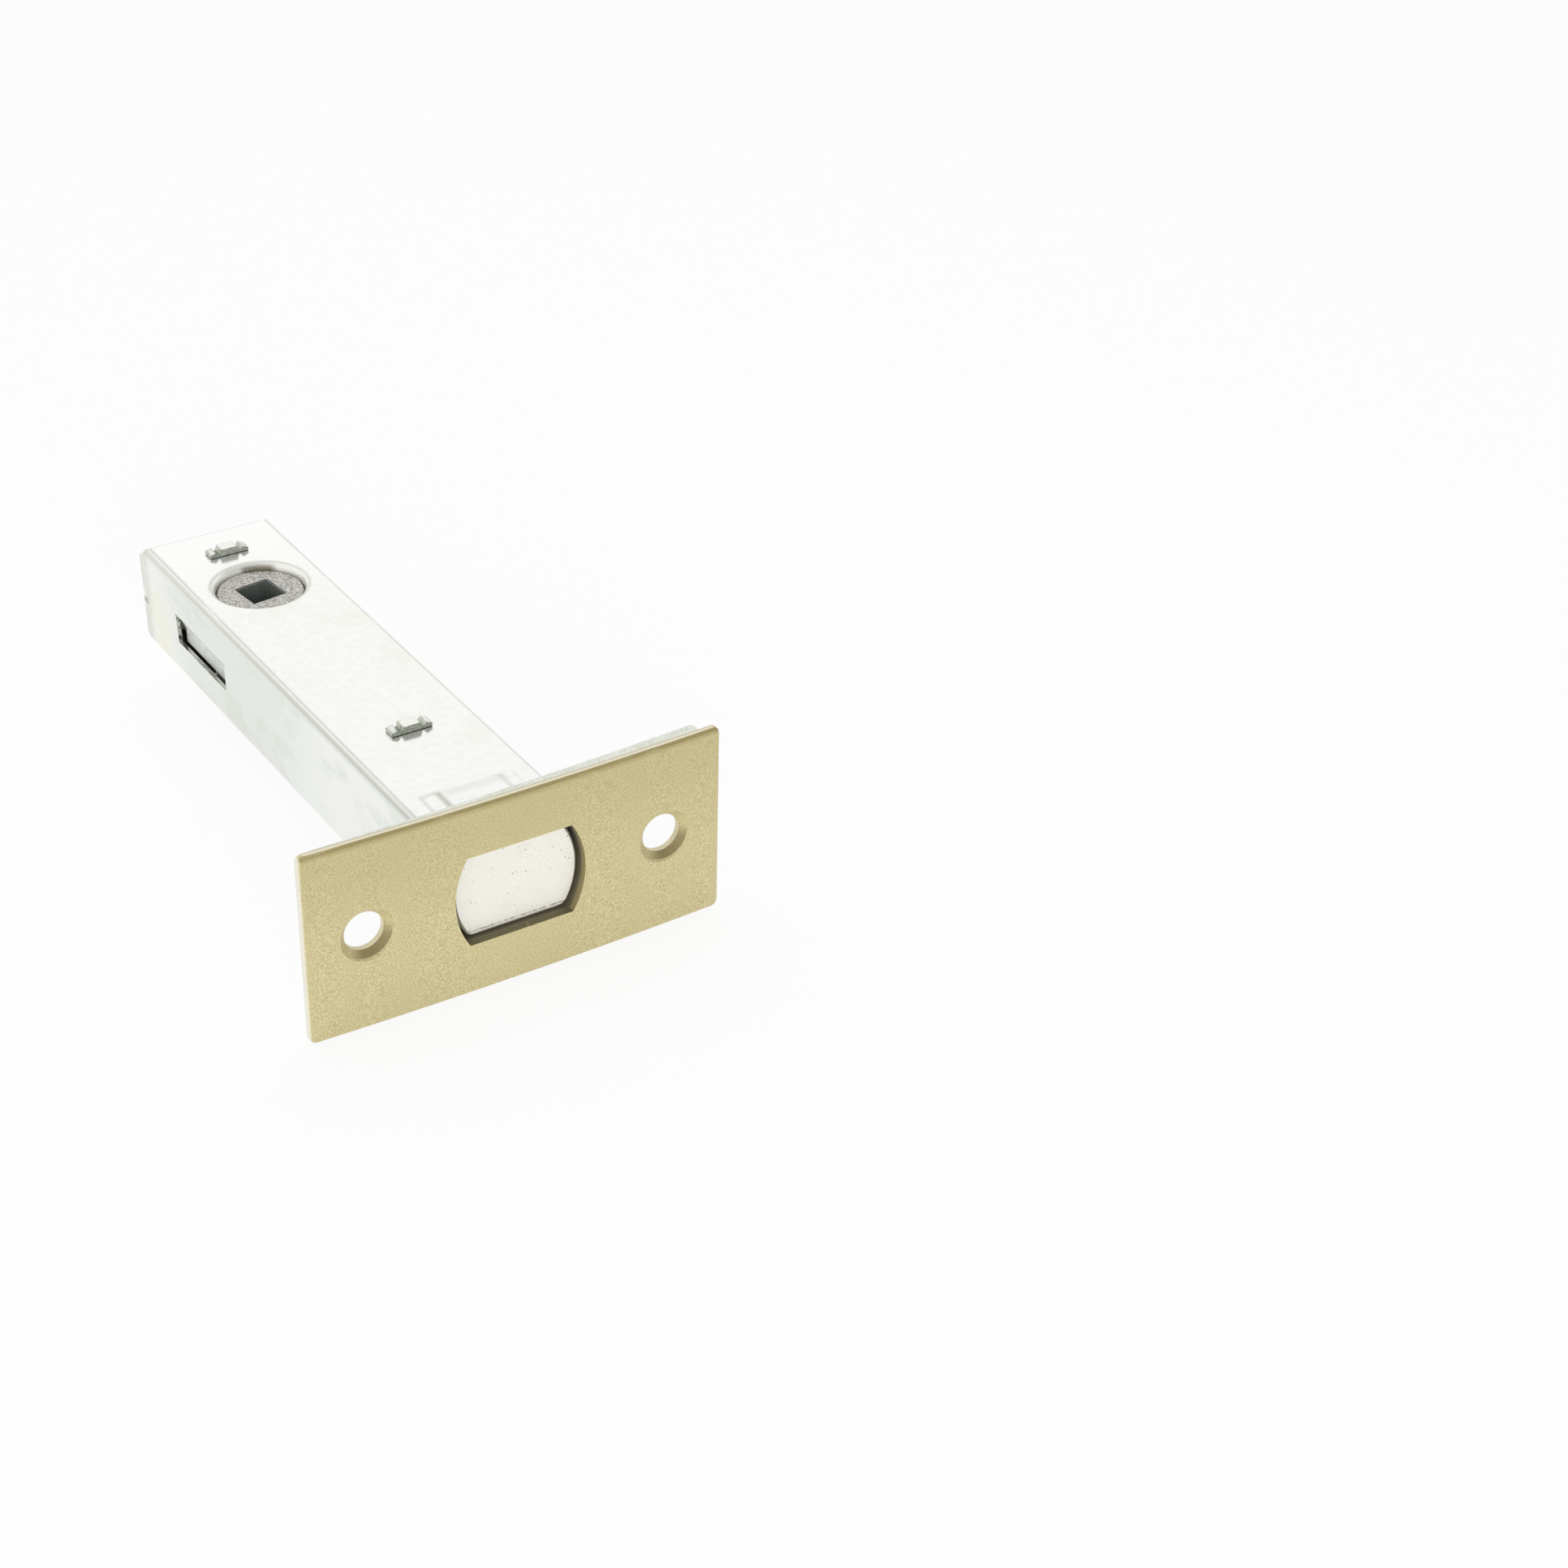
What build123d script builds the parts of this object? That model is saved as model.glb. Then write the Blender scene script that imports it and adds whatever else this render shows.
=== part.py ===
from build123d import *
from math import cos, radians, sin, sqrt
import os

os.makedirs("parts", exist_ok=True)

# Frame: X along the forend's long side, +Y back into the case, +Z along the follower.
# The origin is midway between the screw holes, level with the forend's front at its ends.
# The bolt is drawn in, and leaves towards -Y.

# Driving dimensions of the forend, in millimetres
forend_length = 60.0
forend_width = 28.0
forend_bow = 0.6
forend_corner = 1.0
outer_thick = 1.0
inner_thick = 1.5
inner_length = 56.6
inner_width = 26.95
inner_turn = 1.06
inner_corner = 1.6
plate_gap = 0.05
front_edge_round = 0.45
screw_spacing = 43.0
screw_hole_r = 2.75
dimple_rim_r = 3.8
dimple_wall = 0.85
dimple_clearance = 0.35

# Driving dimensions of the case
sheet = 0.6
case_width = 20.0
case_thick = 15.0
case_front = 2.05
case_rear = 95.5
wall_rear_low = 96.3
wall_rear_high = 96.9
wall_rear_top = 6.2
wall_corner = 0.8
nick_height = -0.9
nick_depth = 0.35
fold_round = 1.2
pad_half_top = 4.6
pad_half_base = 6.8
pad_rear_top = 13.1
pad_rear_base = 13.7
pad_height = 0.45
collar_bend = 1.05
collar_drop = 0.45
window_front = 67.7
window_rear_low = 84.1
window_rear_high = 84.65
window_low = -2.95
window_high = 1.5
flap_slit = 0.25
case_tab_low = 3.0
case_tab_high = 6.2
fit_gap = 0.05

# Driving dimensions of the pillars that hold the case together
pillar_y = (29.8, 87.8)
pillar_thick = 2.0
pillar_half_width = 4.0
pillar_tab_half = 2.7
stake_rise = 1.1

# Driving dimensions of the follower and its lever
follower_y = 76.4
follower_boss_r = 6.1
follower_collar_r = 7.3
follower_core_r = 4.4
follower_recess = 1.15
collar_gap = 0.35
socket_size = 5.1
socket_turn = 7.0
socket_chamfer = 0.2
lever_rest_angle = 58.0
lever_swing = 90.0
lever_tip_r = 0.8
lever_neck = 1.3
lever_low = -2.7
lever_high = -0.6

# Driving dimensions of the bolt
bolt_throw = 12.5
bolt_half_width = 8.9
bolt_half_height = 6.35
bolt_side_r = 11.3
bolt_front = 0.9
bolt_rear = 24.2
bolt_edge_round = 1.6
opening_half_width = 9.4
opening_half_height = 6.65
opening_side_r = 12.6
tail_sheet = 1.2
tail_half_width = 9.1
tail_low = -2.87
tail_high = 3.5
tail_bend = 0.4
tail_corner = 0.6
tail_rear = 90.0
fork_half = 4.9
tongue_half = 6.0
tongue_front = 12.5
notch_front = 83.17
notch_rear = 85.8
notch_flare = 0.95
notch_back = 87.4
notch_high = -0.35
rivet_r = 1.5
rivet_y = (15.5, 20.5)
rivet_fit = 0.02

# Driving dimensions of the detent spring
spring_thick = 0.4
spring_width = 5.0
spring_front = 46.0
detent_y = 64.0
detent_dip = 0.4
spring_rivet_y = 48.6
spring_rivet_r = 1.2

# Worked-out sizes
bow_radius = ((forend_length / 2) ** 2 + forend_bow**2) / (2 * forend_bow)
bow_centre_y = bow_radius - forend_bow
inner_depth = outer_thick + plate_gap
screw_x = screw_spacing / 2
case_top = case_thick / 2
roof_inside = case_top - sheet
wall_inside = case_width / 2 - sheet
wall_middle = wall_inside + sheet / 2
case_tab_middle = (case_tab_low + case_tab_high) / 2
case_tab_width = case_tab_high - case_tab_low
collar_hole_r = follower_boss_r + collar_gap
lever_lean = radians(lever_rest_angle)
lever_reach = bolt_throw / (sin(lever_lean) + sin(radians(lever_swing) - lever_lean))
web_top = tail_low + tail_sheet


# Distance behind the origin of a bowed plate's surface at a given x
def bow_y(x, depth):
    return bow_centre_y - sqrt((bow_radius - depth) ** 2 - x**2)


# Sketch plane square to the bolt's travel, at a distance behind the origin
def across(y):
    return Plane.XZ.offset(-y)


# Plan of a bowed plate between two depths
def bowed_plan(half, near, far):
    with BuildSketch(Plane.XY.offset(-forend_width / 2)) as plan:
        with BuildLine():
            ThreePointArc((-half, bow_y(half, near)), (0, bow_y(0, near)), (half, bow_y(half, near)))
            Line((half, bow_y(half, near)), (half, bow_y(half, far)))
            ThreePointArc((half, bow_y(half, far)), (0, bow_y(0, far)), (-half, bow_y(half, far)))
            Line((-half, bow_y(half, far)), (-half, bow_y(half, near)))
        make_face()
    return plan.sketch


# Flat top and bottom with bulging sides, as on the bolt and the opening it passes through
def bolt_outline(y, half_width, half_height, side_r):
    corner = half_width - side_r + sqrt(side_r**2 - half_height**2)
    with BuildSketch(across(y)) as outline:
        with BuildLine():
            Line((-corner, half_height), (corner, half_height))
            ThreePointArc((corner, half_height), (half_width, 0), (corner, -half_height))
            Line((corner, -half_height), (-corner, -half_height))
            ThreePointArc((-corner, -half_height), (-half_width, 0), (-corner, half_height))
        make_face()
    return outline.sketch


# Rectangles that lie where the case's four tabs pass through the inner forend
def case_tab_outline(y, margin):
    with BuildSketch(across(y)) as tabs:
        with GridLocations(2 * wall_middle, 2 * case_tab_middle, 2, 2):
            Rectangle(sheet + 2 * margin, case_tab_width + 2 * margin)
    return tabs.sketch


# Slanted pad at the case's front, standing on a height above (side 1) or below (side -1) the middle
def pad_frustum(height, side, mode):
    with BuildSketch(Plane.XY.offset(side * height)) as base:
        with Locations((0, case_front)):
            Rectangle(2 * pad_half_base, pad_rear_base - case_front, align=(Align.CENTER, Align.MIN))
    with BuildSketch(Plane.XY.offset(side * (height + pad_height))) as crest:
        with Locations((0, case_front)):
            Rectangle(2 * pad_half_top, pad_rear_top - case_front, align=(Align.CENTER, Align.MIN))
    loft([base.sketch, crest.sketch], mode=mode)


# Collar drawn inwards round the follower's boss: rounded in the top (side 1), bevelled in the cover
def drawn_collar(side):
    root_r = collar_hole_r + collar_bend
    bend_z = case_top - collar_bend
    lip_z = bend_z - collar_drop
    middle_r = root_r - collar_bend * cos(radians(45))
    middle_z = bend_z + collar_bend * cos(radians(45))
    with BuildSketch(Plane.XY.offset(side * (roof_inside - 1))) as clearing:
        with Locations((0, follower_y)):
            Circle(root_r)
    extrude(clearing.sketch, amount=side * (sheet + 2), mode=Mode.SUBTRACT)
    with BuildSketch(across(follower_y)) as section:
        with BuildLine():
            if side > 0:
                ThreePointArc((root_r, case_top), (middle_r, middle_z), (collar_hole_r, bend_z))
            else:
                Polyline((root_r, -case_top), (middle_r, -middle_z), (collar_hole_r, -bend_z))
            Line((collar_hole_r, side * bend_z), (collar_hole_r, side * lip_z))
            Line((collar_hole_r, side * lip_z), (collar_hole_r + sheet, side * lip_z))
            Line((collar_hole_r + sheet, side * lip_z), (collar_hole_r + sheet, side * bend_z))
            Line((collar_hole_r + sheet, side * bend_z), (root_r, side * roof_inside))
            Line((root_r, side * roof_inside), (root_r, side * case_top))
        make_face()
    revolve(section.sketch, axis=Axis((0, follower_y, 0), (0, 0, 1)))


# Slots in the case's top (side 1) or in the cover (side -1) for the pillars' ends
def pillar_slots(side):
    with BuildSketch(Plane.XY.offset(side * (roof_inside - 1))) as slots:
        with Locations(*[(0, y) for y in pillar_y]):
            Rectangle(2 * (pillar_tab_half + fit_gap), pillar_thick + 2 * fit_gap)
    extrude(slots.sketch, amount=side * (sheet + 2), mode=Mode.SUBTRACT)


# Pillar outline: shoulders inside the case, ends split by chisel marks and spread over the sheet
def pillar_outline(y):
    with BuildSketch(across(y + pillar_thick / 2)) as outline:
        with BuildLine():
            Polyline(
                (0, case_top + stake_rise),
                (1.22, case_top + stake_rise),
                (1.55, case_top + 0.2),
                (2.2, case_top + 0.85),
                (3.0, case_top + 0.5),
                (2.95, case_top + 0.03),
                (pillar_tab_half, case_top + 0.03),
                (pillar_tab_half, roof_inside - 0.03),
                (pillar_half_width, roof_inside - 0.03),
                (pillar_half_width, 0),
            )
            mirror(about=Plane.YZ)
            mirror(about=Plane.XZ)
        make_face()
    return outline.sketch


# Rivet that stands through the bolt head, both ends dressed flush
def bolt_rivet(y):
    with BuildSketch(Plane.XY.offset(-bolt_half_height)) as section:
        with Locations((0, y)):
            Circle(rivet_r)
    extrude(section.sketch, amount=2 * bolt_half_height)


# Outer forend: bowed plate with a rolled-over front edge and two dimpled screw holes
with BuildPart() as outer_forend:
    dimple_front = bow_y(screw_x, 0)
    dimple_end = dimple_front + 2 * outer_thick
    dimple_r = screw_hole_r + dimple_wall
    cone_end = dimple_front + dimple_rim_r - screw_hole_r + 0.1
    extrude(bowed_plan(forend_length / 2, 0, outer_thick), amount=forend_width)
    fillet(outer_forend.edges().filter_by(Axis.Y), forend_corner)
    fillet(outer_forend.faces().sort_by(Axis.Y)[0].edges(), front_edge_round)
    opening = bolt_outline(outer_thick + 1, opening_half_width, opening_half_height, opening_side_r)
    extrude(opening, amount=outer_thick + 3, mode=Mode.SUBTRACT)
    for hole_x in (-screw_x, screw_x):
        with BuildSketch(Plane((hole_x, 0, 0))):
            with BuildLine():
                Polyline(
                    (0, dimple_front + 0.3),
                    (dimple_r + 0.5, dimple_front + 0.3),
                    (dimple_r, dimple_front + outer_thick + 0.35),
                    (dimple_r, dimple_end),
                    (0, dimple_end),
                    close=True,
                )
            make_face()
        revolve(axis=Axis((hole_x, 0, 0), (0, 1, 0)))
        with BuildSketch(Plane((hole_x, 0, 0))):
            with BuildLine():
                Polyline(
                    (0, dimple_front - 1),
                    (dimple_rim_r + 0.35, dimple_front - 1),
                    (dimple_rim_r + 0.35, dimple_front - 0.12),
                    (dimple_rim_r, dimple_front + 0.02),
                    (dimple_rim_r - 0.22, dimple_front + 0.3),
                    (screw_hole_r, cone_end),
                    (screw_hole_r, dimple_end + 1),
                    (0, dimple_end + 1),
                    close=True,
                )
            make_face()
        revolve(axis=Axis((hole_x, 0, 0), (0, 1, 0)), mode=Mode.SUBTRACT)
outer_forend.part.label = "outer_forend"

# Inner forend: plated plate, set slightly askew, with holes for the dimples and slots for the tabs
with BuildPart() as inner_forend:
    extrude(bowed_plan(forend_length / 2, inner_depth, inner_depth + inner_thick), amount=forend_width)
    with BuildSketch(across(case_front + 2)):
        RectangleRounded(inner_length, inner_width, inner_corner, rotation=inner_turn)
    extrude(amount=case_front + 4, mode=Mode.INTERSECT)
    opening = bolt_outline(case_front + 2, opening_half_width, opening_half_height, opening_side_r)
    extrude(opening, amount=case_front + 4, mode=Mode.SUBTRACT)
    extrude(case_tab_outline(case_front + 2, fit_gap), amount=case_front + 4, mode=Mode.SUBTRACT)
    with BuildSketch(across(case_front + 2)):
        with Locations((-screw_x, 0), (screw_x, 0)):
            Circle(screw_hole_r + dimple_wall + dimple_clearance)
    extrude(amount=case_front + 4, mode=Mode.SUBTRACT)
inner_forend.part.label = "inner_forend"

# Case body: one folded sheet that makes the top, both sides and the end
with BuildPart() as case_body:
    with BuildSketch(across(case_rear)):
        Rectangle(case_width, case_thick)
    extrude(amount=case_rear - case_front)
    long_folds = case_body.edges().filter_by(Axis.Y).group_by(Axis.Z)[-1]
    end_fold = case_body.edges().filter_by(Axis.X).group_by(Axis.Z)[-1].sort_by(Axis.Y)[-1]
    fillet(long_folds + [end_fold], fold_round)
    with BuildSketch(across(case_rear - sheet)):
        with Locations((0, roof_inside)):
            Rectangle(2 * wall_inside, case_thick, align=(Align.CENTER, Align.MAX))
    extrude(amount=case_rear, mode=Mode.SUBTRACT)
    roof_edges = case_body.edges().filter_by_position(Axis.Z, roof_inside - 0.01, roof_inside + 0.01)
    fillet(roof_edges.filter_by_position(Axis.Y, case_front + 0.01, case_rear), fold_round - sheet)
    pad_frustum(case_top, 1, Mode.ADD)
    pad_frustum(roof_inside, 1, Mode.SUBTRACT)
    drawn_collar(1)
    pillar_slots(1)
    with BuildSketch(Plane.YZ.offset(-case_width / 2 - 1)):
        with BuildLine():
            Polyline(
                (window_front, window_low),
                (window_rear_low, window_low),
                (window_rear_high, window_high),
                (window_front, window_high),
                close=True,
            )
        make_face()
    extrude(amount=sheet + 1.5, mode=Mode.SUBTRACT)
    with BuildSketch(Plane.XY.offset(-case_top)):
        with Locations((-wall_inside, case_rear), (wall_inside - flap_slit, case_rear)):
            Rectangle(flap_slit, 2 * sheet, align=(Align.MIN, Align.CENTER))
    extrude(amount=case_thick - fold_round, mode=Mode.SUBTRACT)
    for wall_x in (-case_width / 2, wall_inside):
        with BuildSketch(Plane.YZ.offset(wall_x)) as wall_end:
            with BuildLine():
                Polyline(
                    (case_rear - 0.5, -case_top),
                    (wall_rear_low, -case_top),
                    (wall_rear_high, wall_rear_top),
                    (case_rear - 0.5, wall_rear_top),
                    close=True,
                )
            make_face()
            fillet(wall_end.vertices().sort_by(Axis.X)[-2:], wall_corner)
        extrude(amount=sheet)
    with BuildSketch(Plane.YZ.offset(-case_width / 2)):
        with Locations((wall_rear_low + 0.28, nick_height)):
            Rectangle(2 * nick_depth, nick_depth, rotation=35)
    extrude(amount=sheet, mode=Mode.SUBTRACT)
    tab_end = bow_y(wall_middle, inner_depth) + 0.1
    extrude(case_tab_outline(case_front, 0), amount=case_front - tab_end)
case_body.part.label = "case_body"

# Case cover: flat plate that closes the open side, with a pad, a collar and slots like the top's
with BuildPart() as case_cover:
    with BuildSketch(Plane.XY.offset(-case_top)):
        with Locations((0, case_front)):
            Rectangle(
                2 * (wall_inside - fit_gap),
                case_rear - sheet - fit_gap - case_front,
                align=(Align.CENTER, Align.MIN),
            )
    extrude(amount=sheet)
    pad_frustum(case_top, -1, Mode.ADD)
    pad_frustum(roof_inside, -1, Mode.SUBTRACT)
    drawn_collar(-1)
    pillar_slots(-1)
    with BuildSketch(Plane.XY.offset(-case_top - 1)):
        with Locations((0, detent_y), (0, detent_y - bolt_throw)):
            Rectangle(spring_width + 1.0, 3.2)
    extrude(amount=sheet + 2, mode=Mode.SUBTRACT)
case_cover.part.label = "case_cover"

# Pillars: flat bars across the case that hold the cover to the top
with BuildPart() as front_pillar:
    extrude(pillar_outline(pillar_y[0]), amount=pillar_thick)
front_pillar.part.label = "front_pillar"

with BuildPart() as rear_pillar:
    extrude(pillar_outline(pillar_y[1]), amount=pillar_thick)
rear_pillar.part.label = "rear_pillar"

# Follower: die-cast hub with a boss at each face, a collar under each, a square socket and one lever
with BuildPart() as follower:
    boss_z = case_top - follower_recess
    shoulder_z = boss_z - 0.7
    waist_z = shoulder_z - 1.25
    with BuildSketch(across(follower_y)):
        with BuildLine():
            Polyline(
                (0, -boss_z),
                (follower_boss_r, -boss_z),
                (follower_boss_r, -shoulder_z),
                (follower_collar_r, -shoulder_z),
                (follower_collar_r, -waist_z),
                (follower_core_r, -waist_z),
                (follower_core_r, waist_z),
                (follower_collar_r, waist_z),
                (follower_collar_r, shoulder_z),
                (follower_boss_r, shoulder_z),
                (follower_boss_r, boss_z),
                (0, boss_z),
                close=True,
            )
        make_face()
    revolve(axis=Axis((0, follower_y, 0), (0, 0, 1)))
    lever_way = (-cos(lever_lean), sin(lever_lean), 0)
    with BuildSketch(Plane((0, follower_y, lever_low), x_dir=lever_way, z_dir=(0, 0, 1))):
        Rectangle(lever_reach, lever_neck, align=(Align.MIN, Align.CENTER))
        with Locations((lever_reach, 0)):
            Circle(lever_tip_r)
    extrude(amount=lever_high - lever_low)
    socket_way = (cos(radians(socket_turn)), sin(radians(socket_turn)), 0)
    with BuildSketch(Plane((0, follower_y, -case_top), x_dir=socket_way, z_dir=(0, 0, 1))):
        Rectangle(socket_size, socket_size)
    extrude(amount=case_thick, mode=Mode.SUBTRACT)
    mouths = follower.faces().filter_by(Axis.Z).filter_by_position(Axis.Z, boss_z - 0.01, boss_z + 0.01)
    mouths += follower.faces().filter_by(Axis.Z).filter_by_position(Axis.Z, -boss_z - 0.01, -boss_z + 0.01)
    chamfer(mouths.edges().filter_by(GeomType.LINE), socket_chamfer)
follower.part.label = "follower"

# Bolt head: block with bulging sides and a slot at the back for the tail's tongue
with BuildPart() as bolt_head:
    outline = bolt_outline(bolt_rear, bolt_half_width, bolt_half_height, bolt_side_r)
    extrude(outline, amount=bolt_rear - bolt_front)
    fillet(bolt_head.edges().filter_by(Axis.Y), bolt_edge_round)
    chamfer(bolt_head.faces().sort_by(Axis.Y)[0].edges(), 0.3)
    with BuildSketch(across(bolt_rear + 1)):
        with Locations((0, tail_low + tail_sheet / 2)):
            Rectangle(2 * tongue_half + 0.4, tail_sheet + 0.06)
    extrude(amount=bolt_rear + 1.3 - tongue_front, mode=Mode.SUBTRACT)
    with BuildSketch(Plane.XY.offset(-bolt_half_height - 1)):
        with Locations(*[(0, y) for y in rivet_y]):
            Circle(rivet_r + rivet_fit)
    extrude(amount=2 * bolt_half_height + 2, mode=Mode.SUBTRACT)
bolt_head.part.label = "bolt_head"

# Bolt tail: channel folded up along both walls, forked round the follower, notched for its lever
with BuildPart() as bolt_tail:
    channel_front = bolt_rear + 0.3
    slot_front = pillar_y[0] - pillar_thick / 2 - 0.5
    slot_rear = pillar_y[0] + pillar_thick / 2 + bolt_throw + 0.5
    with BuildSketch(across(tail_rear)) as channel:
        with Locations((0, tail_low)):
            Rectangle(2 * tail_half_width, tail_high - tail_low, align=(Align.CENTER, Align.MIN))
        fillet(channel.vertices().group_by(Axis.Y)[0], tail_bend)
        with Locations((0, web_top)):
            Rectangle(
                2 * (tail_half_width - tail_sheet),
                tail_high - tail_low,
                align=(Align.CENTER, Align.MIN),
                mode=Mode.SUBTRACT,
            )
    extrude(amount=tail_rear - channel_front)
    with BuildSketch(Plane.XY.offset(tail_low)):
        with Locations((0, tongue_front)):
            Rectangle(2 * tongue_half, channel_front - tongue_front, align=(Align.CENTER, Align.MIN))
    extrude(amount=tail_sheet)
    with BuildSketch(Plane.XY.offset(tail_low - 1)):
        with Locations((0, slot_front)):
            Rectangle(2 * pillar_half_width + 0.8, slot_rear - slot_front, align=(Align.CENTER, Align.MIN))
        with Locations((0, follower_y)):
            Circle(fork_half)
            Rectangle(2 * fork_half, tail_rear - follower_y + 1, align=(Align.CENTER, Align.MIN))
        with Locations(*[(0, y) for y in rivet_y]):
            Circle(rivet_r + rivet_fit)
        with Locations((0, spring_rivet_y)):
            Circle(spring_rivet_r + rivet_fit)
    extrude(amount=tail_sheet + 2, mode=Mode.SUBTRACT)
    with BuildSketch(Plane.XY.offset(tail_low - 1)):
        with BuildLine():
            Polyline(
                (-tail_half_width - 1, notch_front),
                (-6.5, notch_front),
                (-fork_half - 0.5, notch_front - 0.7 * notch_flare),
                (-fork_half + 0.1, notch_front - 1.6 * notch_flare),
                (-fork_half + 0.1, notch_rear + 1.35 * notch_flare),
                (-fork_half - 0.5, notch_rear + 0.7 * notch_flare),
                (-6.5, notch_rear),
                (tail_sheet - tail_half_width, notch_rear),
                (tail_sheet - tail_half_width, notch_back),
                (-tail_half_width - 1, notch_back),
                close=True,
            )
        make_face()
    extrude(amount=notch_high - tail_low + 1, mode=Mode.SUBTRACT)
    with BuildSketch(Plane.YZ.offset(-tail_half_width - 1)):
        with Locations((notch_front, tail_low)):
            Rectangle(2 * tail_corner, 2 * tail_corner)
        with Locations((notch_front - tail_corner, tail_low + tail_corner)):
            Circle(tail_corner, mode=Mode.SUBTRACT)
    extrude(amount=1 + tail_sheet, mode=Mode.SUBTRACT)
bolt_tail.part.label = "bolt_tail"

# Bolt rivets: pin the tail's tongue in the head's slot
with BuildPart() as bolt_rivet_front:
    bolt_rivet(rivet_y[0])
bolt_rivet_front.part.label = "bolt_rivet_front"

with BuildPart() as bolt_rivet_rear:
    bolt_rivet(rivet_y[1])
bolt_rivet_rear.part.label = "bolt_rivet_rear"

# Detent spring: bent leaf under the tail's web, its bump dropped into a slot of the cover
with BuildPart() as detent_spring:
    leaf_z = tail_low - spring_thick / 2 - rivet_fit
    bump_z = -roof_inside - detent_dip + spring_thick / 2
    with BuildSketch(Plane.YZ):
        with BuildLine():
            FilletPolyline(
                (spring_front, leaf_z),
                (spring_front + 9, leaf_z),
                (detent_y - 0.3, bump_z),
                (detent_y + 0.3, bump_z),
                (detent_y + 2.6, bump_z + 2.2),
                radius=(0.6, 0.2, 0.2),
            )
        trace(line_width=spring_thick)
    extrude(amount=spring_width / 2, both=True)
    with BuildSketch(Plane.XY.offset(leaf_z - 1)):
        with Locations((0, spring_rivet_y)):
            Circle(spring_rivet_r + rivet_fit)
    extrude(amount=2, mode=Mode.SUBTRACT)
detent_spring.part.label = "detent_spring"

# Spring rivet: holds the leaf against the web
with BuildPart() as spring_rivet:
    seat_low = tail_low - spring_thick - 2 * rivet_fit
    seat_high = web_top + rivet_fit
    with BuildSketch(across(spring_rivet_y)):
        with BuildLine():
            Polyline(
                (0, seat_low - 0.6),
                (1.9, seat_low - 0.6),
                (1.9, seat_low),
                (spring_rivet_r, seat_low),
                (spring_rivet_r, seat_high),
                (1.75, seat_high),
                (1.75, seat_high + 0.5),
                (0, seat_high + 0.5),
                close=True,
            )
        make_face()
    revolve(axis=Axis((0, spring_rivet_y, 0), (0, 0, 1)))
spring_rivet.part.label = "spring_rivet"

for piece in (
    outer_forend,
    inner_forend,
    case_body,
    case_cover,
    front_pillar,
    rear_pillar,
    follower,
    bolt_head,
    bolt_tail,
    bolt_rivet_front,
    bolt_rivet_rear,
    detent_spring,
    spring_rivet,
):
    export_step(piece.part, f"parts/{piece.part.label}.step")
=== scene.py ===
from math import radians

import bmesh
import bpy
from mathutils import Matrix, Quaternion, Vector


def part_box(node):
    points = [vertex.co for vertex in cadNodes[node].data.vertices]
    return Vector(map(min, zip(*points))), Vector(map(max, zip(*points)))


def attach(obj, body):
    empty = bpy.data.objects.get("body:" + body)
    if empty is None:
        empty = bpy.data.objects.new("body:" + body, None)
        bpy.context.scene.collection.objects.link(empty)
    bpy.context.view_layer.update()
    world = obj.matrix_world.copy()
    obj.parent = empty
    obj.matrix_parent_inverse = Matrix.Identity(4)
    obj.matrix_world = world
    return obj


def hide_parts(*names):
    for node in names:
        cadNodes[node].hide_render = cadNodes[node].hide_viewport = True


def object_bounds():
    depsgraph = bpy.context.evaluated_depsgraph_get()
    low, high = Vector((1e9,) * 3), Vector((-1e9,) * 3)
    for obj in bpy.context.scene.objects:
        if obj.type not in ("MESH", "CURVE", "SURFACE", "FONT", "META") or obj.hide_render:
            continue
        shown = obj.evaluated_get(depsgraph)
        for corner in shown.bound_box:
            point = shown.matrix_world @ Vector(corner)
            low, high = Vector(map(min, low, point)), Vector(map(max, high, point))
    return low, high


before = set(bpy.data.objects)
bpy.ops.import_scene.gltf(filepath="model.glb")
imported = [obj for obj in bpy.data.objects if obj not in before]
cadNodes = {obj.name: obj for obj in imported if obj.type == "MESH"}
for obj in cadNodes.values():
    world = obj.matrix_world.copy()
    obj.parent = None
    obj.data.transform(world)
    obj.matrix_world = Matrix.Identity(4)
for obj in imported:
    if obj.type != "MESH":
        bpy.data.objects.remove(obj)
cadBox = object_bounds()
print("frame loaded:", len(cadNodes), "nodes")


# A colour given as it looks on a screen, from 0 to 255, turned to Blender's linear values
def tint(red, green, blue):
    def linear(value):
        share = value / 255
        return share / 12.92 if share <= 0.04045 else ((share + 0.055) / 1.055) ** 2.4

    return (linear(red), linear(green), linear(blue), 1.0)


# Adds shader or geometry nodes to a tree. A socket is given by name or place, as a value or as a link.
def nodeMaker(tree):
    def make(kind, sockets=None, **settings):
        node = tree.nodes.new(kind)
        for name, value in settings.items():
            setattr(node, name, value)
        for name, value in (sockets or {}).items():
            if isinstance(value, bpy.types.NodeSocket):
                tree.links.new(value, node.inputs[name])
            else:
                node.inputs[name].default_value = value
        return node

    return make


# Node maker for the emptied tree of a material or a world
def clearedTree(owner):
    owner.use_nodes = True
    owner.node_tree.nodes.clear()
    return nodeMaker(owner.node_tree)


def maths(make, operation, *values):
    return make("ShaderNodeMath", dict(enumerate(values)), operation=operation).outputs[0]


def vectorMaths(make, operation, *values):
    node = make("ShaderNodeVectorMath", dict(enumerate(values)), operation=operation)
    return node.outputs["Value" if operation == "DOT_PRODUCT" else "Vector"]


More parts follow.
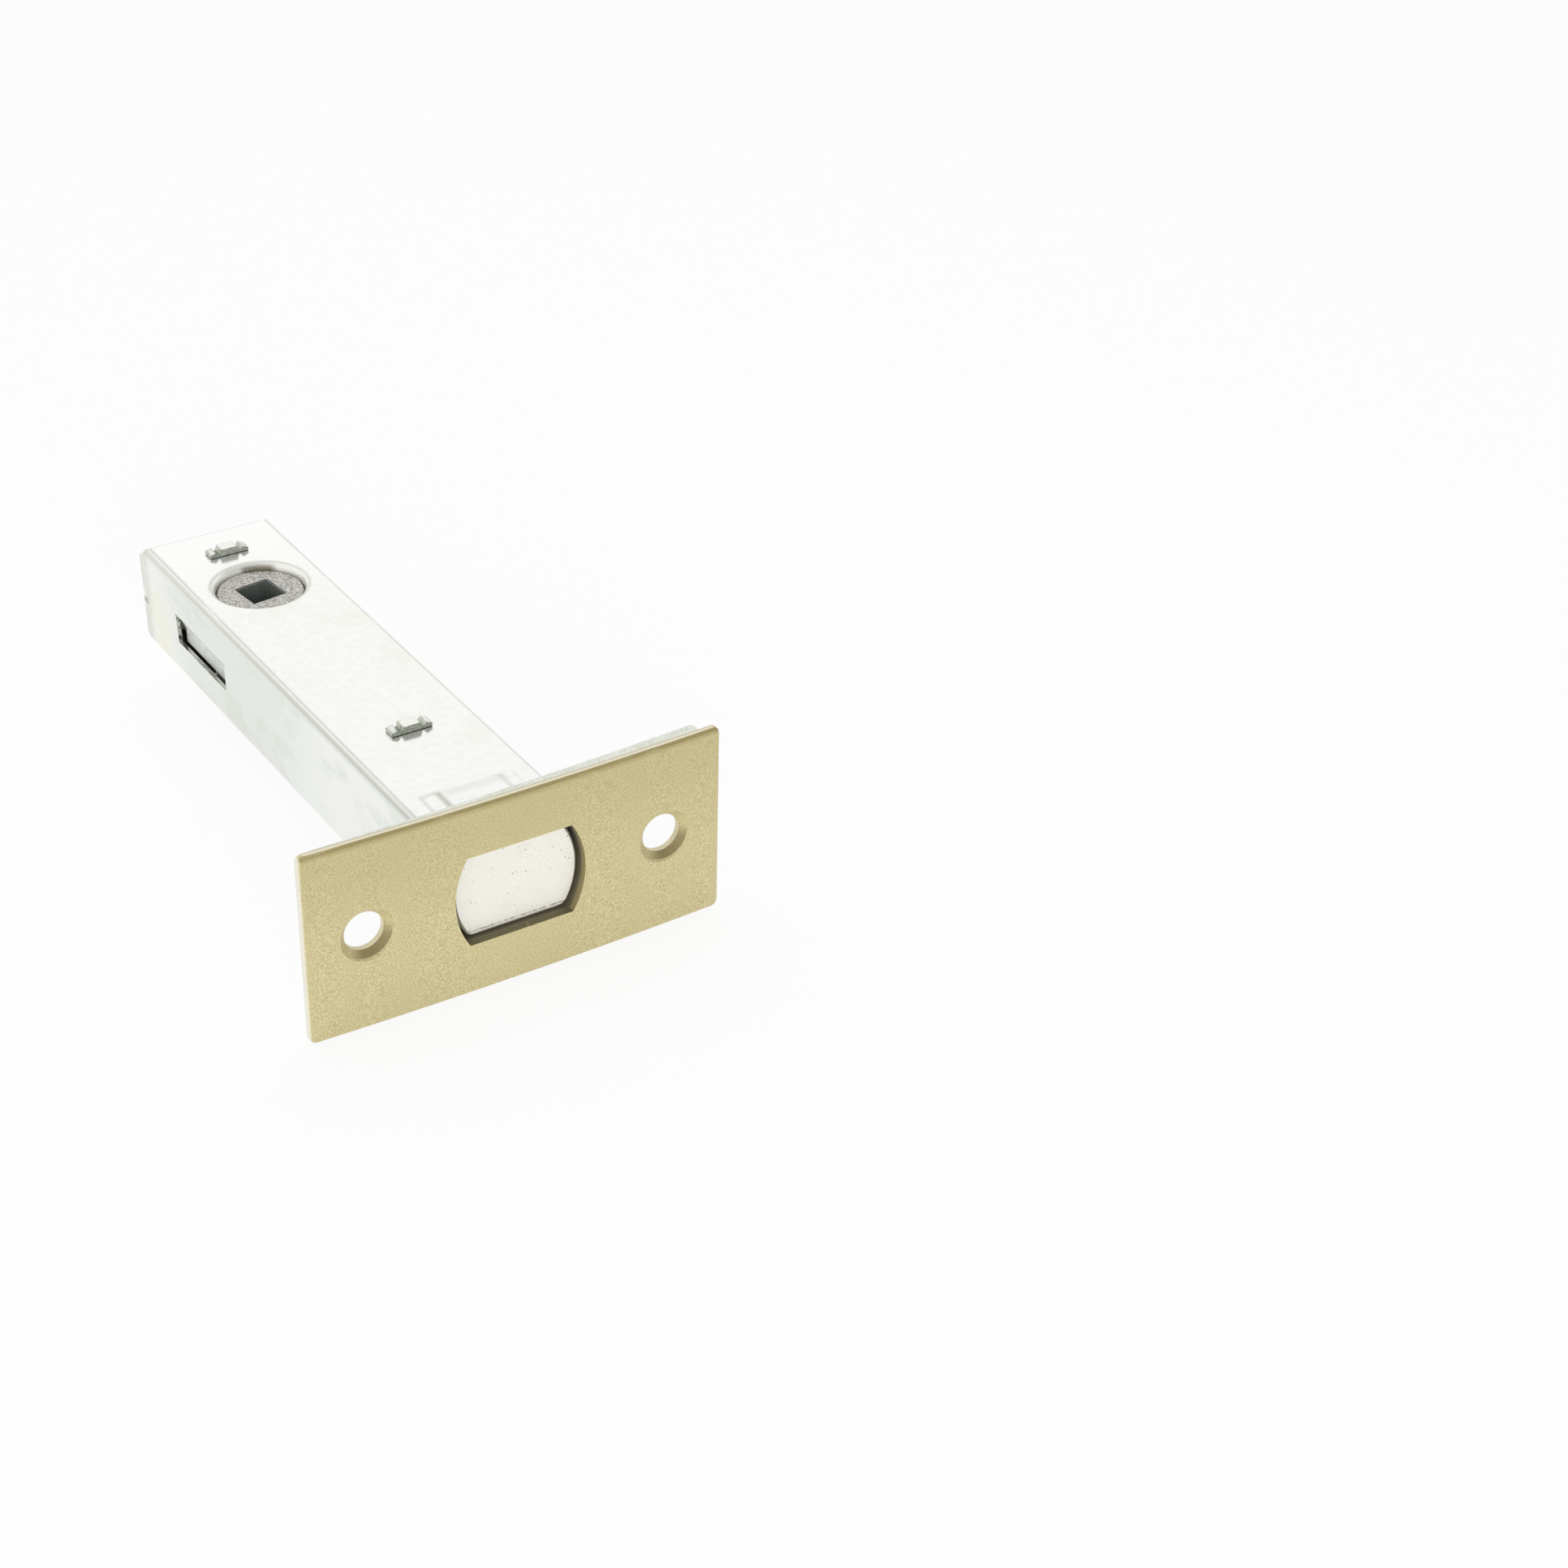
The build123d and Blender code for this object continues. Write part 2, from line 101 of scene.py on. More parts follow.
# Noise whose blobs are about as large as size, in metres, pulled out along each axis by stretch
def surfaceNoise(make, place, size, detail=2.0, stretch=(1, 1, 1), shift=0.0):
    scale = [1 / (size * s) for s in stretch]
    mapped = make("ShaderNodeMapping", {"Vector": place, "Location": (shift, shift, shift), "Scale": scale})
    sockets = {"Vector": mapped.outputs["Vector"], "Scale": 1.0, "Detail": detail, "Roughness": 0.6}
    return make("ShaderNodeTexNoise", sockets).outputs["Fac"]


# A value turned into a mask that goes from 0 at start to top at end
def risingMask(make, value, start, end, top=1.0):
    sockets = {"Value": value, "From Min": start, "From Max": end, "To Min": 0.0, "To Max": top}
    return make("ShaderNodeMapRange", sockets, interpolation_type="SMOOTHSTEP").outputs["Result"]


def mixColours(make, share, first, second):
    return make("ShaderNodeMix", {0: share, 6: first, 7: second}, data_type="RGBA").outputs[2]


# Mask of a zone of a finish. Its box goes from low to high and fades in over soft, one width or one for each
# axis. With an axis it shows only where the surface faces that way, from nothing at the first value of facing
# to full at the second, and so for fading. A bow lets the box follow the bent forend, and a patchSize breaks
# it into patches.
def zoneMask(make, place, normal, zone):
    if "bow" in zone:
        across = make("ShaderNodeSeparateXYZ", {"Vector": place}).outputs["X"]
        bent = maths(make, "MULTIPLY", maths(make, "MULTIPLY", across, across), zone["bow"])
        bend = make("ShaderNodeCombineXYZ", {"Y": bent}).outputs["Vector"]
        place = vectorMaths(make, "SUBTRACT", place, bend)
    middle = (Vector(zone["low"]) + Vector(zone["high"])) / 2
    half = (Vector(zone["high"]) - Vector(zone["low"])) / 2
    offset = vectorMaths(make, "ABSOLUTE", vectorMaths(make, "SUBTRACT", place, middle))
    soft = zone.get("soft", 0.00002)
    margin = soft if isinstance(soft, tuple) else (soft, soft, soft)
    inside = vectorMaths(make, "DIVIDE", vectorMaths(make, "SUBTRACT", half, offset), margin)
    depth = make("ShaderNodeSeparateXYZ", {"Vector": inside}).outputs
    least = maths(make, "MINIMUM", maths(make, "MINIMUM", depth[0], depth[1]), depth[2])
    mask = risingMask(make, least, 0.0, 1.0, zone["share"])
    if "axis" in zone:
        facing = vectorMaths(make, "DOT_PRODUCT", normal, zone["axis"])
        if zone.get("bothWays"):
            facing = maths(make, "ABSOLUTE", facing)
        mask = maths(make, "MULTIPLY", mask, risingMask(make, facing, *zone["facing"]))
        if "fading" in zone:
            mask = maths(make, "MULTIPLY", mask, risingMask(make, facing, *zone["fading"]))
    if "patchSize" in zone:
        stretch = zone.get("patchStretch", (1, 1, 1))
        patch = surfaceNoise(make, place, zone["patchSize"], 3.0, stretch, shifts["patches"])
        mask = maths(make, "MULTIPLY", mask, risingMask(make, patch, *zone.get("patch", (0.35, 0.55))))
    return mask


# Each pattern's own place in the noise, so that none lines up with another
shifts = {"clouds": 3.1, "shade": 11.3, "lines": 7.7, "patches": 5.3}

# Where each pattern of a finish begins to show and where it shows in full
spread = {
    "grain": (0.34, 0.66),
    "stains": (0.54, 0.72),
    "dulling": (0.54, 0.76),
    "lines": (0.6, 0.75),
    "speckled": (0.4, 0.6),
    "edges": (0.99, 0.86),
    "roughness": (0.3, 0.7),
}
shadeScale = 0.45  # size of the dull shade beside the clouds
speckCore = 0.4  # share of a speck's width that shows in full


# Metal surface with grain, clouding, stains, specks, draw lines, edges in their own colour and zones, as its
# look says
def metalFinish(name, look):
    material = bpy.data.materials.new(name)
    make = clearedTree(material)
    where = make("ShaderNodeTexCoord").outputs
    place = where["Object"]

    grain = surfaceNoise(make, place, look["grainSize"], 3.0)
    cloud = surfaceNoise(make, place, look["cloudSize"], 4.0, shift=shifts["clouds"])
    shade = surfaceNoise(make, place, look["cloudSize"] * shadeScale, 5.0, shift=shifts["shade"])
    lines = surfaceNoise(make, place, look["lineSize"], 2.0, look["lineStretch"], shifts["lines"])
    colour = mixColours(make, risingMask(make, grain, *spread["grain"]), look["deep"], look["pale"])
    stained = risingMask(make, cloud, *spread["stains"], look["stainShare"])
    colour = mixColours(make, stained, colour, look["stain"])
    for pattern, reach in ((shade, spread["dulling"]), (lines, spread["lines"])):
        dulled = risingMask(make, pattern, *reach, look["dullShare"])
        colour = mixColours(make, dulled, colour, look["dull"])

    scatter = {"Vector": place, "Scale": 1 / look["speckGap"], "Randomness": 1.0}
    specks = make("ShaderNodeTexVoronoi", scatter, feature="F1").outputs["Distance"]
    width = look["speckWidth"]
    speckMask = risingMask(make, specks, width, width * speckCore, look["speckShare"])
    speckMask = maths(make, "MULTIPLY", speckMask, risingMask(make, shade, *spread["speckled"]))
    colour = mixColours(make, speckMask, colour, look["speck"])

    metallic = look["metallic"]
    for zone in look.get("zones", []):
        mask = zoneMask(make, place, where["Normal"], zone)
        if "colour" in zone:
            colour = mixColours(make, mask, colour, zone["colour"])
        if "metallic" in zone:
            change = maths(make, "SUBTRACT", zone["metallic"], metallic)
            metallic = maths(make, "MULTIPLY_ADD", mask, change, metallic)
    # Edges found by the bevel take the look's edge colour: painted highlight where it is paler, painted shade
    # where it is darker
    flat = make("ShaderNodeNewGeometry").outputs["Normal"]
    rounded = make("ShaderNodeBevel", {"Radius": look["edgeWidth"]}, samples=4).outputs["Normal"]
    levelled = vectorMaths(make, "DOT_PRODUCT", rounded, flat)
    edgeMask = risingMask(make, levelled, *spread["edges"], look["edgeShare"])
    colour = mixColours(make, edgeMask, colour, look["edge"])

    rough = {"Value": cloud, "From Min": spread["roughness"][0], "From Max": spread["roughness"][1]}
    rough.update({"To Min": look["rough"][0], "To Max": look["rough"][1]})
    roughness = make("ShaderNodeMapRange", rough).outputs["Result"]
    height = maths(make, "MULTIPLY_ADD", lines, look["lineDepth"] / look["grainDepth"], grain)
    bumpSockets = {"Height": height, "Distance": look["grainDepth"], "Strength": 1.0}
    bump = make("ShaderNodeBump", bumpSockets).outputs["Normal"]
    sockets = {"Base Color": colour, "Roughness": roughness, "Normal": bump, "Metallic": metallic}
    shader = make("ShaderNodeBsdfPrincipled", sockets)
    make("ShaderNodeOutputMaterial", {"Surface": shader.outputs["BSDF"]})
    return material


# Gives the finish to every slot of the named CAD nodes
def dress(names, material):
    for name in names:
        mesh = cadNodes[name].data
        if not mesh.materials:
            mesh.materials.append(material)
        for slot in range(len(mesh.materials)):
            mesh.materials[slot] = material


# Places that several finishes need, from the frame
forendLow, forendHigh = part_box("outer_forend")
headLow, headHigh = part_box("bolt_head")
hubLow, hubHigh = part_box("follower")
sheetLow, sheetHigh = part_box("case_body")
forendBend = 0.666  # y of the bent forend's front grows by this times x squared
hubRadius = hubHigh.x
hubPlace = hubLow.y + hubRadius
openingHalf = headHigh.x + 0.0007  # just past the bolt's sides
openingRise = headHigh.z + 0.0005  # and past its top
far = 0.2  # past the whole lock, whichever way
foldFoot = 0.0062  # where the wall starts to bend into the top
foldSide = -0.0084  # the bend lies to the left of this
padRise = 0.00045  # how far the pressed pad stands above the case's top


# Cut edges of an opening that goes through a plate along the axis
def cutEdges(low, high, axis):
    return {"low": low, "high": high, "axis": axis, "bothWays": True, "facing": (0.9, 0.4)}


# Marks around each screw hole of the outer forend: the shaded side of its cone and its pale bore
holePlace = 0.0215
holeRim = 0.0042
holeShade = {
    "axis": (-0.45, -0.35, 0.82),
    "facing": (0.4, 0.85),
    "colour": tint(140, 127, 86),
    "share": 0.85,
}
holeBore = {
    "axis": (0, -1, 0),
    "facing": (0.3, 0.1),
    "colour": tint(238, 230, 200),
    "share": 0.7,
}
holeZones = []
for mark in (holeShade, holeBore):
    for middle in (-holePlace, holePlace):
        around = {"low": (middle - holeRim, 0.0, -holeRim), "high": (middle + holeRim, 0.003, holeRim)}
        holeZones.append({**around, **mark})

# Outer forend: pale satin gold with a fine sprayed grain, bare dark metal where the opening was cut, and
# painted light and shade on its face, edges, holes and opening
brassLook = {
    "deep": tint(194, 181, 131),
    "pale": tint(226, 215, 169),
    "stain": tint(212, 200, 154),
    "stainShare": 0.2,
    "dull": tint(196, 183, 135),
    "dullShare": 0.12,
    "speck": tint(234, 226, 188),
    "speckShare": 0.5,
    "speckGap": 0.0007,
    "speckWidth": 0.12,
    "edge": tint(226, 216, 176),
    "edgeShare": 0.35,
    "edgeWidth": 0.00012,
    "grainSize": 0.0002,
    "grainDepth": 0.000004,
    "cloudSize": 0.011,
    "lineSize": 0.0003,
    "lineStretch": (4, 1, 1),
    "lineDepth": 0.000002,
    "rough": (0.42, 0.52),
    "metallic": 0.3,
    "zones": [
        # front face, painted shade darker towards its top
        {
            "low": (forendLow.x - 0.05, -0.05, -0.004),
            "high": (forendHigh.x + 0.05, 0.05, forendHigh.z + 0.05),
            "soft": 0.018,
            "axis": (0, -1, 0),
            "facing": (0.9, 0.99),
            "colour": tint(172, 159, 110),
            "share": 0.32,
        },
        *holeZones,
        # painted shade: dark line along the rolled front edge
        {
            "low": (forendLow.x, forendLow.y - 0.001, forendHigh.z - 0.0006),
            "high": (forendHigh.x, forendHigh.y, forendHigh.z + 0.0001),
            "axis": (0, -1, 0),
            "facing": (0.02, 0.2),
            "fading": (1.0, 0.97),
            "colour": tint(160, 146, 97),
            "share": 0.85,
            "patchSize": 0.0012,
            "patchStretch": (9, 1, 1),
            "patch": (0.2, 0.45),
        },
        # soft band of painted shade below that line
        {
            "low": (forendLow.x, forendLow.y - 0.001, forendHigh.z - 0.0011),
            "high": (forendHigh.x, forendHigh.y, forendHigh.z + 0.0005),
            "soft": 0.0006,
            "axis": (0, -1, 0),
            "facing": (0.96, 0.99),
            "colour": tint(168, 154, 104),
            "share": 0.6,
            "patchSize": 0.0012,
            "patchStretch": (5, 1, 1),
            "patch": (0.15, 0.5),
        },
        # painted light on the top edge
        {
            "low": (forendLow.x, forendLow.y, forendHigh.z - 0.0002),
            "high": (forendHigh.x, forendHigh.y, forendHigh.z + 0.0002),
            "axis": (0, 0, 1),
            "facing": (0.95, 0.999),
            "colour": tint(240, 231, 208),
            "share": 0.85,
        },
        # painted shadow of the gap behind: a greyer line on the top edge, along its rear
        {
            "low": (forendLow.x, forendLow.y + 0.00075, forendHigh.z - 0.0003),
            "high": (forendHigh.x, forendLow.y + 0.0011, forendHigh.z + 0.0002),
            "soft": 0.00005,
            "bow": forendBend,
            "axis": (0, 0, 1),
            "facing": (0.9, 0.99),
            "colour": tint(196, 192, 170),
            "share": 0.85,
        },
        # painted light on the left edge
        {
            "low": (forendLow.x - 0.0002, forendLow.y, forendLow.z),
            "high": (forendLow.x + 0.0005, forendHigh.y, forendHigh.z),
            "axis": (-1, 0, 0),
            "facing": (0.5, 0.9),
            "colour": tint(242, 240, 228),
            "share": 0.85,
        },
        # cut edge of the opening, dark as bare metal and with painted shade of the recess around the bolt,
        # then painted light on its right side
        {
            **cutEdges(
                (-openingHalf, forendLow.y, -openingRise), (openingHalf, forendHigh.y, openingRise), (0, 1, 0)
            ),
            "colour": tint(112, 104, 76),
            "share": 0.9,
            "patchSize": 0.0008,
            "patchStretch": (1, 4, 1),
            "patch": (0.2, 0.42),
        },
        {
            "low": (openingHalf * 0.6, forendLow.y, -openingRise),
            "high": (openingHalf, forendHigh.y, openingRise),
            "axis": (-1, 0, 0),
            "facing": (0.5, 0.9),
            "colour": tint(172, 156, 110),
            "share": 0.85,
        },
    ],
}
dress(["outer_forend"], metalFinish("satinBrass", brassLook))

# Inner forend: galvanised plate, greyer than the case and with sheared edges, darkened also with painted
# shade
innerPlateLook = {
    "deep": tint(216, 219, 207),
    "pale": tint(239, 241, 231),
    "stain": tint(220, 220, 204),
    "stainShare": 0.5,
    "dull": tint(200, 203, 192),
    "dullShare": 0.5,
    "speck": tint(150, 150, 142),
    "speckShare": 0.5,
    "speckGap": 0.0009,
    "speckWidth": 0.14,
    "edge": tint(226, 228, 224),
    "edgeShare": 0.5,
    "edgeWidth": 0.00012,
    "grainSize": 0.00035,
    "grainDepth": 0.00003,
    "cloudSize": 0.006,
    "lineSize": 0.0002,
    "lineStretch": (1, 9, 1),
    "lineDepth": 0.00002,
    "rough": (0.34, 0.5),
    "metallic": 0.8,
    "zones": [
        # cut edge of the opening, dark as bare metal and with painted shade of the recess around the bolt
        {
            **cutEdges((-openingHalf, 0, -openingRise), (openingHalf, 0.003, openingRise), (0, 1, 0)),
            "colour": tint(126, 116, 86),
            "share": 0.9,
            "metallic": 0.3,
        },
    ],
}
dress(["inner_forend"], metalFinish("platedPlate", innerPlateLook))

# Case: bright galvanised sheet, clouded, with rolling lines along its length, a few stains, dark cut edges,
# and painted light and shade on its wall, top, bends, collar and pad
windowLow = (sheetLow.x - 0.0001, 0.0675, -0.0031)
windowHigh = (sheetLow.x + 0.0008, 0.0850, 0.0017)
collarWidth = 0.0015


# Part of the case's left wall, between two places along the case
def wallPart(front, rear):
    reach = 0.03
    return {
        "low": (sheetLow.x - reach, front, sheetLow.z - reach),
        "high": (sheetLow.x + reach, rear, sheetHigh.z + reach),
        "axis": (-1, 0, 0),
        "facing": (0.7, 0.99),
    }


# Shaded strip on the pressed pad, between two places across the case and two along it
def padStrip(left, right, front, rear, soft, share):
    return {
        "low": (left, front, 0.0),
        "high": (right, rear, 0.02),
        "soft": soft,
        "axis": (0, 0, 1),
        "facing": (0.5, 0.9),
        "colour": tint(200, 201, 190),
        "share": share,
    }


sheetLook = {
    "deep": tint(247, 247, 243),
    "pale": tint(251, 251, 248),
    "stain": tint(243, 241, 229),
    "stainShare": 0.5,
    "dull": tint(240, 241, 236),
    "dullShare": 0.3,
    "speck": tint(196, 194, 180),
    "speckShare": 0.5,
    "speckGap": 0.0036,
    "speckWidth": 0.04,
    "edge": tint(250, 250, 247),
    "edgeShare": 0.3,
    "edgeWidth": 0.00012,
    "grainSize": 0.0012,
    "grainDepth": 0.0000012,
    "cloudSize": 0.015,
    "lineSize": 0.0004,
    "lineStretch": (1, 30, 1),
    "lineDepth": 0.0000006,
    "rough": (0.14, 0.22),
    "metallic": 0.85,
    "zones": [
        # left wall: painted shade makes it greyer than the top; paler towards the forend, with a few greenish
        # clouds
        {
            **wallPart(-0.01, 0.105),
            "soft": 0.03,
            "colour": tint(224, 228, 220),
            "share": 0.85,
        },
        {
            **wallPart(-0.03, 0.062),
            "soft": 0.045,
            "colour": tint(246, 247, 243),
            "share": 1.0,
        },
        {
            **wallPart(0.0, 0.105),
            "soft": 0.02,
            "colour": tint(208, 213, 202),
            "share": 0.42,
            "patchSize": 0.006,
            "patchStretch": (1, 2, 1),
            "patch": (0.5, 0.7),
        },
        # cut edges of the side window, and the dark streaks in them
        {
            **cutEdges(windowLow, windowHigh, (1, 0, 0)),
            "colour": tint(206, 210, 198),
            "share": 0.8,
        },
        {
            **cutEdges(windowLow, windowHigh, (1, 0, 0)),
            "colour": tint(66, 70, 58),
            "share": 0.9,
            "patchSize": 0.0005,
            "patchStretch": (1, 12, 1),
            "patch": (0.5, 0.62),
        },
        # drawn collar around the follower, and painted shadow on its far side
        {
            "low": (-hubRadius - collarWidth, hubPlace - hubRadius - collarWidth, sheetHigh.z - 0.01),
            "high": (hubRadius + collarWidth, hubPlace + hubRadius + collarWidth, sheetHigh.z + 0.01),
            "soft": 0.0005,
            "axis": (0, 0, 1),
            "facing": (0.9999, 0.97),
            "colour": tint(248, 248, 242),
            "share": 1.0,
            "metallic": 0.35,
        },
        {
            "low": (-0.0005, hubPlace + 0.0035, sheetHigh.z - 0.004),
            "high": (0.005, hubPlace + 0.0085, sheetHigh.z),
            "soft": 0.0012,
            "axis": (0, 0, 1),
            "facing": (0.85, 0.3),
            "colour": tint(134, 127, 108),
            "share": 0.9,
            "patchSize": 0.0016,
            "patch": (0.15, 0.45),
        },
        # top, painted light: almost white towards its rear
        {
            "low": (-far, 0.066, -far),
            "high": (far, far, far),
            "soft": 0.03,
            "axis": (0, 0, 1),
            "facing": (0.99, 0.9995),
            "colour": tint(255, 255, 254),
            "share": 0.9,
        },
        # bends into the top: painted shade in grey patches, the wall's painted grey carried up, a duller
        # strip, then a dark line of painted shade
        {
            "low": (sheetLow.x - 0.0001, 0.002, foldFoot),
            "high": (sheetHigh.x + 0.0001, sheetHigh.y, 0.0076),
            "axis": (0, 0, 1),
            "facing": (0.998, 0.95),
            "fading": (0.78, 0.93),
            "colour": tint(196, 200, 188),
            "share": 0.6,
            "patchSize": 0.002,
            "patchStretch": (1, 6, 1),
            "patch": (0.2, 0.5),
        },
        {
            "low": (-far, -far, foldFoot),
            "high": (foldSide, far, far),
            "axis": (-0.97, 0, 0.24),
            "facing": (0.9, 0.96),
            "colour": tint(224, 228, 220),
            "share": 0.75,
        },
        {
            "low": (-far, -far, foldFoot),
            "high": (foldSide, far, far),
            "axis": (-0.42, 0, 0.91),
            "facing": (0.94, 0.98),
            "share": 0.85,
            "metallic": 0.3,
        },
        {
            "low": (-far, -far, -far),
            "high": (foldSide, far, far),
            "soft": (0.0003, 0.2, 0.0003),
            "axis": (-0.8, 0, 0.6),
            "facing": (0.95, 0.99),
            "colour": tint(176, 182, 169),
            "share": 0.62,
            "patchSize": 0.004,
            "patchStretch": (1, 8, 1),
            "patch": (0.15, 0.4),
        },
        # yellowish stain low on the rear of the wall
        {
            "low": (-0.02, 0.086, -0.0105),
            "high": (0.0, 0.1, 0.003),
            "soft": 0.0025,
            "colour": tint(240, 238, 220),
            "share": 0.7,
            "patchSize": 0.003,
        },
        # painted shade on the rear edge of the wall
        {
            "low": (sheetLow.x - 0.001, 0.0925, -0.02),
            "high": (sheetLow.x + 0.001, 0.1, 0.02),
            "soft": (0.0001, 0.003, 0.001),
            "axis": (-1, 0, 0),
            "facing": (0.2, 0.6),
            "colour": tint(212, 216, 206),
            "share": 0.8,
            "patchSize": 0.003,
            "patchStretch": (1, 1, 3),
            "patch": (0.25, 0.5),
        },
        # inside of the small nick in the wall's rear
        {
            "low": (-0.0102, 0.0951, -0.0019),
            "high": (-0.0098, 0.0966, -0.0009),
            "colour": tint(120, 120, 104),
            "share": 0.8,
            "patchSize": 0.0003,
        },
        # painted shade on the edges and slopes of the pad
        padStrip(-0.0052, -0.0038, -0.01, 0.0141, 0.0006, 0.9),  # left edge of its top
        padStrip(-0.0071, -0.0064, -0.01, 0.0142, 0.0003, 0.3),  # foot of its left slope
        padStrip(0.0038, 0.0052, -0.01, 0.0141, 0.0006, 0.4),  # right edge of its top
        padStrip(-0.0070, -0.0035, 0.0128, 0.0146, 0.0007, 0.42),  # rear left corner
        padStrip(-0.0045, 0.0062, 0.0108, 0.0146, 0.0017, 0.25),  # rear slope
    ],
}
dress(["case_body", "case_cover"], metalFinish("galvanisedSheet", sheetLook))

# Bolt: satin nickel with fine specks, painted highlights on its edges and on its lower chamfer, and wear
# along its lower edge
nickelLook = {
    "deep": tint(241, 239, 229),
    "pale": tint(250, 248, 239),
    "stain": tint(240, 236, 223),
    "stainShare": 0.5,
    "dull": tint(232, 229, 217),
    "dullShare": 0.3,
    "speck": tint(112, 100, 72),
    "speckShare": 1.0,
    "speckGap": 0.0009,
    "speckWidth": 0.13,
    "edge": tint(250, 249, 243),
    "edgeShare": 0.5,
    "edgeWidth": 0.00012,
    "grainSize": 0.0003,
    "grainDepth": 0.000003,
    "cloudSize": 0.005,
    "lineSize": 0.00012,
    "lineStretch": (9, 1, 1),
    "lineDepth": 0.000002,
    "rough": (0.36, 0.46),
    "metallic": 0.75,
    "zones": [
        # front face, less of a mirror than the sides
        {
            "low": (-far, headLow.y - far, -far),
            "high": (far, headLow.y + far, far),
            "axis": (0, -1, 0),
            "facing": (0.9, 0.99),
            "share": 1.0,
            "metallic": 0.25,
        },
        # lower edge: a painted highlight line, dark wear above it, the chamfer painted bright as a highlight,
        # and a dark line between
        {
            "low": (-0.0082, headLow.y - 0.0001, headLow.z + 0.00042),
            "high": (0.0082, headLow.y + 0.0001, headLow.z + 0.00062),
            "soft": 0.00003,
            "colour": tint(255, 254, 247),
            "share": 1.0,
        },
        {
            "low": (-0.0082, headLow.y - 0.0001, headLow.z + 0.0006),
            "high": (0.0082, headLow.y + 0.0001, headLow.z + 0.00086),
            "soft": 0.00006,
            "colour": tint(120, 102, 64),
            "share": 0.85,
            "patchSize": 0.00025,
            "patchStretch": (3, 1, 1),
            "patch": (0.4, 0.6),
        },
        {
            "low": (-0.01, headLow.y - 0.0001, headLow.z - 0.0001),
            "high": (0.01, headLow.y + 0.0005, headLow.z + 0.0005),
            "axis": (0, -1, 0),
            "facing": (0.9, 0.8),
            "fading": (0.3, 0.5),
            "colour": tint(255, 254, 246),
            "share": 1.0,
            "metallic": 0.2,
        },
        {
            "low": (-0.0082, headLow.y - 0.0001, headLow.z + 0.00031),
            "high": (0.0082, headLow.y + 0.0001, headLow.z + 0.00042),
            "soft": 0.00002,
            "colour": tint(96, 84, 56),
            "share": 0.9,
            "patchSize": 0.0006,
            "patchStretch": (5, 1, 1),
            "patch": (0.25, 0.45),
        },
    ],
}
dress(["bolt_head"], metalFinish("satinNickel", nickelLook))

# Bolt's tail and rivets: smooth plated strip, a little darker than the case
tailLook = {
    "deep": tint(208, 211, 206),
    "pale": tint(220, 223, 218),
    "stain": tint(214, 215, 206),
    "stainShare": 0.4,
    "dull": tint(206, 209, 204),
    "dullShare": 0.3,
    "speck": tint(150, 152, 150),
    "speckShare": 0.5,
    "speckGap": 0.002,
    "speckWidth": 0.06,
    "edge": tint(200, 202, 199),
    "edgeShare": 0.5,
    "edgeWidth": 0.00025,
    "grainSize": 0.0008,
    "grainDepth": 0.000004,
    "cloudSize": 0.007,
    "lineSize": 0.0003,
    "lineStretch": (1, 25, 1),
    "lineDepth": 0.000003,
    "rough": (0.26, 0.36),
    "metallic": 0.6,
}
tailFinish = metalFinish("platedStrip", tailLook)
dress(["bolt_tail", "bolt_rivet_front", "bolt_rivet_rear", "spring_rivet"], tailFinish)

# Follower: die-cast zinc, grainy and dull, with a painted highlight on its edges and painted shade in its
# socket
socketReach = 0.0045
castLook = {
    "deep": tint(136, 134, 129),
    "pale": tint(236, 233, 226),
    "stain": tint(208, 204, 196),
    "stainShare": 0.5,
    "dull": tint(160, 157, 153),
    "dullShare": 0.5,
    "speck": tint(222, 219, 215),
    "speckShare": 0.6,
    "speckGap": 0.0006,
    "speckWidth": 0.2,
    "edge": tint(214, 211, 206),
    "edgeShare": 0.6,
    "edgeWidth": 0.00018,
    "grainSize": 0.00024,
    "grainDepth": 0.00002,
    "cloudSize": 0.003,
    "lineSize": 0.0009,
    "lineStretch": (1, 1, 1),
    "lineDepth": 0.00005,
    "rough": (0.4, 0.58),
    "metallic": 0.55,
    "zones": [
        # painted shade on the walls of the square socket
        {
            "low": (-socketReach, hubPlace - socketReach, hubLow.z + 0.0002),
            "high": (socketReach, hubPlace + socketReach, hubHigh.z - 0.0002),
            "axis": (0, 0, 1),
            "bothWays": True,
            "facing": (0.9, 0.5),
            "colour": tint(122, 131, 127),
            "share": 0.85,
        },
        # painted shade on its upper chamfer, as dark as the walls
        {
            "low": (-socketReach, hubPlace - socketReach, hubHigh.z - 0.00023),
            "high": (socketReach, hubPlace + socketReach, hubHigh.z + 0.00003),
            "soft": 0.00001,
            "axis": (0, 0, 1),
            "facing": (0.95, 0.8),
            "colour": tint(66, 71, 68),
            "share": 0.9,
            "metallic": 0.1,
        },
    ],
}
dress(["follower"], metalFinish("castZinc", castLook))

# Detent spring: plain hardened strip
springLook = {
    "deep": tint(110, 110, 112),
    "pale": tint(142, 142, 144),
    "stain": tint(124, 114, 104),
    "stainShare": 0.4,
    "dull": tint(98, 98, 101),
    "dullShare": 0.4,
    "speck": tint(78, 73, 68),
    "speckShare": 0.5,
    "speckGap": 0.001,
    "speckWidth": 0.1,
    "edge": tint(188, 188, 189),
    "edgeShare": 0.6,
    "edgeWidth": 0.0001,
    "grainSize": 0.0002,
    "grainDepth": 0.00001,
    "cloudSize": 0.003,
    "lineSize": 0.00015,
    "lineStretch": (1, 20, 1),
    "lineDepth": 0.00001,
    "rough": (0.3, 0.45),
    "metallic": 0.9,
}
dress(["detent_spring"], metalFinish("springStrip", springLook))
print("finishes made")

